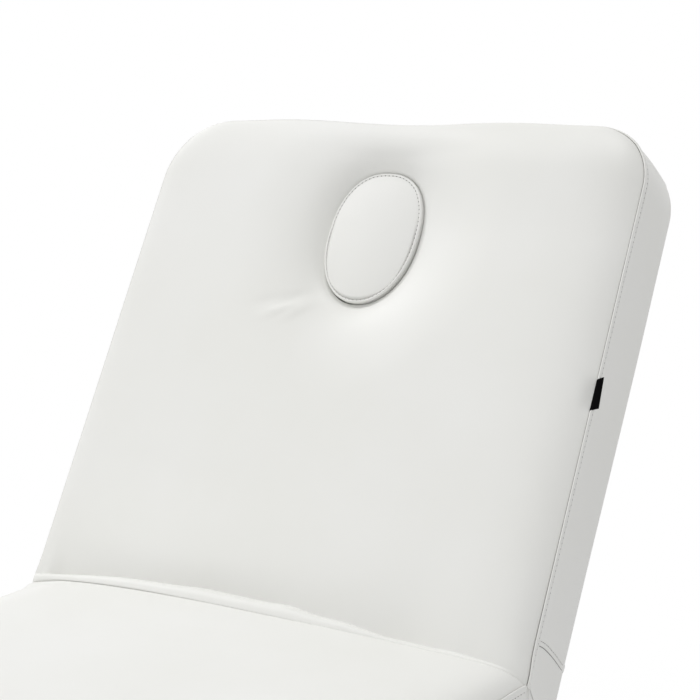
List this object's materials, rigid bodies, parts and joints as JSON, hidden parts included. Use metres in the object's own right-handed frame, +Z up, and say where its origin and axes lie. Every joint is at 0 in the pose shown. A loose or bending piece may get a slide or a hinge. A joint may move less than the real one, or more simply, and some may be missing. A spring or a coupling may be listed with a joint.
{
  "type": "electric beauty bed",
  "caption": "Padded white treatment bed with a raising backrest, a removable oval face-hole plug, a folding leg rest and a powered parallelogram lift on a steel base.",
  "frame": {"origin": "on the floor, under the middle of the bed's bounding box", "axes": "+Z up, +Y along the bed to the head end, +X across to the side that shows the seam tab"},
  "size_m": [0.6213, 1.5296, 1.1461],
  "materials": {
    "white_upholstery": "white coated fabric, satin, fine grain",
    "foam": "open-cell polyurethane foam",
    "plywood": "bare plywood",
    "black_tape": "woven black tape, blank",
    "white_steel": "white powder coat",
    "plated_pins": "zinc-plated steel",
    "bushes": "plain polymer bushes",
    "rubber": "moulded rubber",
    "black_plastic": "fine textured moulding",
    "motor_can": "black lacquer",
    "actuator_tube": "satin anodised",
    "polished_rod": "polished",
    "grey_key": "soft-touch grey"
  },
  "bodies": {
    "base": {"base_side_rails": "white_steel", "base_cross_tubes": "white_steel", "base_end_caps": "black_plastic", "rubber_feet": "rubber", "lower_pivot_plates": "white_steel", "lower_pivot_pins": "plated_pins", "lift_gear_housing": "black_plastic", "lift_motor": "motor_can", "lift_outer_tube": "actuator_tube", "lift_actuator_posts": "white_steel", "control_box": "black_plastic", "mains_inlet": "black_plastic"},
    "rear_arms": {"rear_lift_arms": "white_steel", "rear_torque_tube": "white_steel", "rear_arm_bushes": "bushes", "lift_lever_plates": "white_steel"},
    "front_arms": {"front_lift_arms": "white_steel", "front_torque_tube": "white_steel", "front_arm_bushes": "bushes"},
    "lift_actuator_rod": {"lift_rod": "polished_rod"},
    "seat": {"seat_side_rails": "white_steel", "seat_rail_caps": "black_plastic", "seat_cross_tubes": "white_steel", "upper_pivot_plates": "white_steel", "upper_pivot_pins": "plated_pins", "seat_hinge_lugs": "white_steel", "hinge_pins": "plated_pins", "actuator_brackets": "white_steel", "back_gear_housing": "black_plastic", "back_motor": "motor_can", "back_outer_tube": "actuator_tube", "leg_gear_housing": "black_plastic", "leg_motor": "motor_can", "leg_outer_tube": "actuator_tube", "seat_board": "plywood", "seat_foam": "foam", "seat_cover": "white_upholstery", "handset_holder": "black_plastic"},
    "backrest": {"back_side_rails": "white_steel", "back_cross_tubes": "white_steel", "back_lever_plates": "white_steel", "back_board": "plywood", "back_foam": "foam", "back_cover": "white_upholstery", "side_tab": "black_tape"},
    "leg_rest": {"leg_side_rails": "white_steel", "leg_cross_tubes": "white_steel", "leg_lever_plates": "white_steel", "leg_board": "plywood", "leg_foam": "foam", "leg_cover": "white_upholstery"},
    "back_actuator_rod": {"back_rod": "polished_rod"},
    "leg_actuator_rod": {"leg_rod": "polished_rod"},
    "face_plug": {"plug_cover": "white_upholstery", "plug_core": "foam"},
    "handset": {"handset_shell": "black_plastic"},
    "height_rocker": {"height_key": "grey_key"},
    "leg_rocker": {"leg_key": "grey_key"},
    "back_rocker": {"back_key": "grey_key"}
  },
  "joints": [
    {"name": "height_lift", "type": "hinge", "parent": "base", "child": "rear_arms", "pos_m": [0, -0.02125, 0.12], "axis": [1, 0, 0], "range_deg": [-17, 23]},
    {"name": "front_arms_swing", "type": "hinge", "parent": "base", "child": "front_arms", "pos_m": [0, -0.42125, 0.12], "axis": [1, 0, 0], "range_deg": [-17.5, 23.5]},
    {"name": "seat_level", "type": "hinge", "parent": "rear_arms", "child": "seat", "pos_m": [0, 0.36519, 0.46795], "axis": [1, 0, 0], "range_deg": [-23.5, 17.5]},
    {"name": "lift_rod_slide", "type": "slide", "parent": "base", "child": "lift_actuator_rod", "axis": [0, 1, 0], "range_m": [-0.0606, 0.0449]},
    {"name": "backrest_tilt", "type": "hinge", "parent": "seat", "child": "backrest", "pos_m": [0, 0.45519, 0.54295], "axis": [1, 0, 0], "range_deg": [-61, 0]},
    {"name": "back_rod_slide", "type": "slide", "parent": "seat", "child": "back_actuator_rod", "axis": [0, 1, 0], "range_m": [-0.0947, 0.0004]},
    {"name": "leg_rest_fold", "type": "hinge", "parent": "seat", "child": "leg_rest", "pos_m": [0, -0.16481, 0.54295], "axis": [1, 0, 0], "range_deg": [0, 30]},
    {"name": "leg_rod_slide", "type": "slide", "parent": "seat", "child": "leg_actuator_rod", "axis": [0, 1, 0], "range_m": [-0.0004, 0.0486]},
    {"name": "plug_lift_out", "type": "slide", "parent": "backrest", "child": "face_plug", "axis": [0, -0.8746, 0.4848], "range_m": [0, 0.12]},
    {"name": "handset_pull_off", "type": "slide", "parent": "seat", "child": "handset", "axis": [-1, 0, 0], "range_m": [0, 0.1]},
    {"name": "height_key_rock", "type": "hinge", "parent": "handset", "child": "height_rocker", "pos_m": [-0.2948, 0.15519, 0.43325], "axis": [0, 1, 0], "range_deg": [-4, 4], "stiffness_Nm_per_rad": 0.6},
    {"name": "leg_key_rock", "type": "hinge", "parent": "handset", "child": "leg_rocker", "pos_m": [-0.2948, 0.15519, 0.46725], "axis": [0, 1, 0], "range_deg": [-4, 4], "stiffness_Nm_per_rad": 0.6},
    {"name": "back_key_rock", "type": "hinge", "parent": "handset", "child": "back_rocker", "pos_m": [-0.2948, 0.15519, 0.50125], "axis": [0, 1, 0], "range_deg": [-4, 4], "stiffness_Nm_per_rad": 0.6}
  ],
  "couplings": [
    {"joint": "front_arms_swing", "follows": "height_lift", "ratio": 1},
    {"joint": "seat_level", "follows": "height_lift", "ratio": -1},
    {"joint": "lift_rod_slide", "follows": "height_lift", "m_per_rad": -0.15},
    {"joint": "back_rod_slide", "follows": "backrest_tilt", "m_per_rad": 0.0885},
    {"joint": "leg_rod_slide", "follows": "leg_rest_fold", "m_per_rad": 0.0921}
  ]
}
